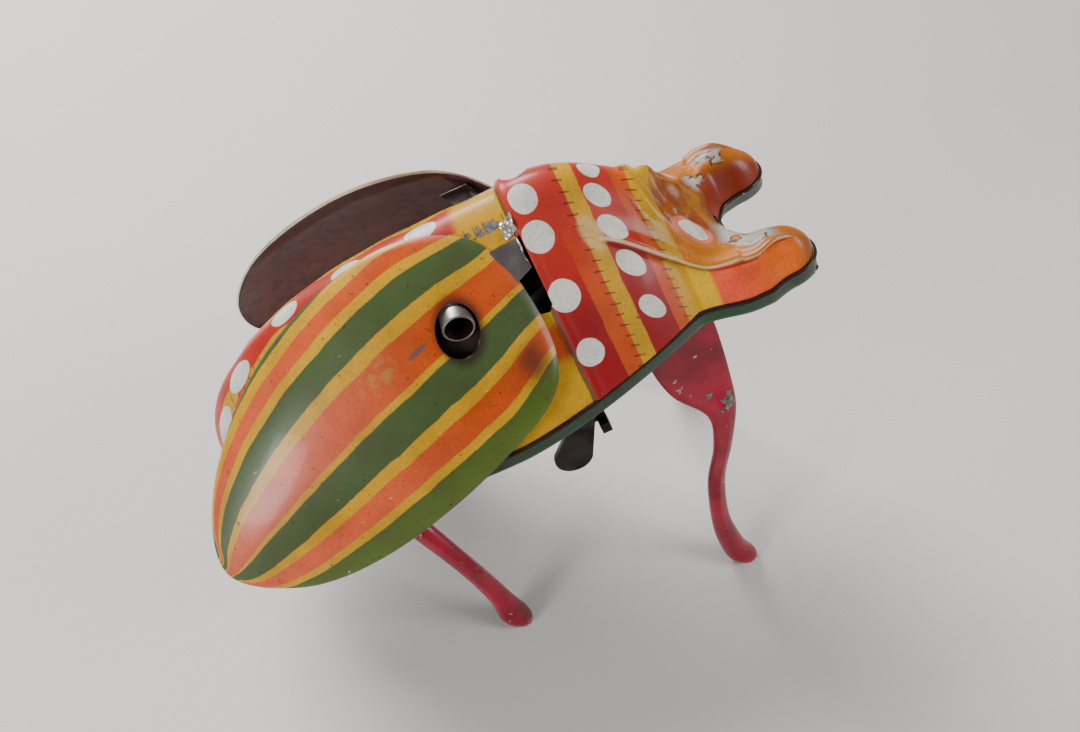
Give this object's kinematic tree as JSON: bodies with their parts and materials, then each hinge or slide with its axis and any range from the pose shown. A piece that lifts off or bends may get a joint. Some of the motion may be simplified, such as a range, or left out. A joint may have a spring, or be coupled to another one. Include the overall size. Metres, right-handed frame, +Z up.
{
  "type": "tin wind-up beetle",
  "caption": "Walking and wing-beating clockwork beetle in printed tinplate, standing nose up on its legs, with a winding tube through the right wing.",
  "frame": {"origin": "on the ground, under the middle of the toy's box", "axes": "+X towards the jaws, +Y towards the beetle's left side, +Z up; the body is pitched nose up by 21 degrees"},
  "size_m": [0.109, 0.0758, 0.0843],
  "materials": {
    "litho_shell": "gloss lithographed tinplate, worn",
    "green_belly": "gloss enamel, worn",
    "striped_wing": "gloss lithographed tinplate, worn",
    "crimson_leg": "gloss enamel, chipped",
    "bright_steel": "tarnished",
    "blued_steel": "oxidised",
    "brass_wheel": "aged"
  },
  "bodies": {
    "frame": {"body_top": "litho_shell", "belly_plate": "green_belly", "right_wing_pin": "bright_steel", "left_wing_pin": "bright_steel", "wing_bracket": "bright_steel", "leg_shaft": "bright_steel", "rear_leg_right": "crimson_leg", "rear_leg_left": "crimson_leg", "stop_lever_bracket": "blued_steel", "stop_lever_rivet": "bright_steel", "frame_plate_left": "bright_steel", "frame_plate_right": "bright_steel", "frame_pillar_1": "bright_steel", "frame_pillar_2": "bright_steel", "frame_pillar_3": "bright_steel", "frame_pillar_4": "bright_steel", "pallet_arbor": "bright_steel", "mainspring": "blued_steel"},
    "right_wing_set": {"right_wing": "striped_wing", "right_wing_lever": "bright_steel"},
    "left_wing_set": {"left_wing": "striped_wing", "left_wing_lever": "bright_steel"},
    "tie_bar": {"wing_tie_bar": "bright_steel"},
    "right_front_leg": {"front_leg_right": "crimson_leg", "leg_arm_right": "bright_steel"},
    "left_front_leg": {"front_leg_left": "crimson_leg", "leg_arm_left": "bright_steel"},
    "right_rod": {"connecting_rod_right": "bright_steel"},
    "left_rod": {"connecting_rod_left": "bright_steel"},
    "stop_lever_body": {"stop_lever": "blued_steel"},
    "great_wheel_body": {"great_wheel": "brass_wheel", "click_spring": "bright_steel"},
    "click_body": {"click": "bright_steel"},
    "winding_body": {"winding_arbor": "bright_steel", "ratchet_wheel": "bright_steel"},
    "second_body": {"second_arbor": "bright_steel", "second_wheel": "brass_wheel"},
    "crank_body": {"crank_shaft": "bright_steel", "crank_wheel": "brass_wheel", "crank_disc_right": "bright_steel", "crank_disc_left": "bright_steel"},
    "escape_body": {"escape_arbor": "bright_steel", "escape_wheel": "brass_wheel"},
    "pallet_body": {"pallet_anchor": "brass_wheel"}
  },
  "joints": [
    {"name": "right_wing_hinge", "type": "hinge", "parent": "frame", "child": "right_wing_set", "pos_m": [0.00783, -0.01443, 0.06935], "axis": [-0.3584, 0, 0.9336], "range_deg": [0, 6]},
    {"name": "left_wing_hinge", "type": "hinge", "parent": "frame", "child": "left_wing_set", "pos_m": [0.00783, 0.00556, 0.06935], "axis": [-0.3584, 0, 0.9336], "range_deg": [0, 6]},
    {"name": "tie_bar_slide", "type": "slide", "parent": "frame", "child": "tie_bar", "axis": [0, 1, 0], "range_m": [0, 0.00042]},
    {"name": "right_leg_swing", "type": "hinge", "parent": "frame", "child": "right_front_leg", "pos_m": [0.02984, -0.00443, 0.06226], "axis": [0, 1, 0], "range_deg": [-18, 18]},
    {"name": "left_leg_swing", "type": "hinge", "parent": "frame", "child": "left_front_leg", "pos_m": [0.02984, -0.00443, 0.06226], "axis": [0, 1, 0], "range_deg": [-18, 18]},
    {"name": "right_rod_pivot", "type": "hinge", "parent": "right_front_leg", "child": "right_rod", "pos_m": [0.02603, -0.00443, 0.06798], "axis": [0, 1, 0], "range_deg": [-18, 18]},
    {"name": "left_rod_pivot", "type": "hinge", "parent": "left_front_leg", "child": "left_rod", "pos_m": [0.02603, -0.00443, 0.06798], "axis": [0, 1, 0], "range_deg": [-18, 18]},
    {"name": "stop_lever_swing", "type": "hinge", "parent": "frame", "child": "stop_lever_body", "pos_m": [0.01089, -0.02443, 0.04631], "axis": [0, 1, 0], "range_deg": [-18, 15]},
    {"name": "great_wheel_turn", "type": "hinge", "parent": "frame", "child": "great_wheel_body", "pos_m": [-0.00934, -0.00443, 0.06832], "axis": [0, 1, 0], "continuous": true},
    {"name": "winding_turn", "type": "hinge", "parent": "great_wheel_body", "child": "winding_body", "pos_m": [-0.00934, -0.00443, 0.06832], "axis": [0, 1, 0], "continuous": true},
    {"name": "click_swing", "type": "hinge", "parent": "great_wheel_body", "child": "click_body", "pos_m": [-0.01243, -0.00103, 0.07131], "axis": [0, 1, 0], "range_deg": [-8, 0], "stiffness_Nm_per_rad": 0.0004},
    {"name": "second_wheel_turn", "type": "hinge", "parent": "frame", "child": "second_body", "pos_m": [-0.00269, -0.00443, 0.06467], "axis": [0, 1, 0], "continuous": true},
    {"name": "crank_turn", "type": "hinge", "parent": "frame", "child": "crank_body", "pos_m": [0.00283, -0.00443, 0.06019], "axis": [0, 1, 0], "continuous": true},
    {"name": "escape_turn", "type": "hinge", "parent": "frame", "child": "escape_body", "pos_m": [0.00996, -0.00443, 0.06031], "axis": [0, 1, 0], "continuous": true},
    {"name": "pallet_swing", "type": "hinge", "parent": "frame", "child": "pallet_body", "pos_m": [0.01565, -0.00443, 0.06378], "axis": [0, 1, 0], "range_deg": [-3.5, 3.5]}
  ],
  "couplings": [
    {"joint": "left_wing_hinge", "follows": "right_wing_hinge", "ratio": 1},
    {"joint": "tie_bar_slide", "follows": "right_wing_hinge", "m_per_rad": 0.004},
    {"joint": "left_leg_swing", "follows": "right_leg_swing", "ratio": -1},
    {"joint": "right_rod_pivot", "follows": "right_leg_swing", "ratio": -1},
    {"joint": "left_rod_pivot", "follows": "right_leg_swing", "ratio": 1},
    {"joint": "second_wheel_turn", "follows": "great_wheel_turn", "ratio": -2.75},
    {"joint": "crank_turn", "follows": "great_wheel_turn", "ratio": 6.875},
    {"joint": "escape_turn", "follows": "great_wheel_turn", "ratio": -17.188}
  ]
}
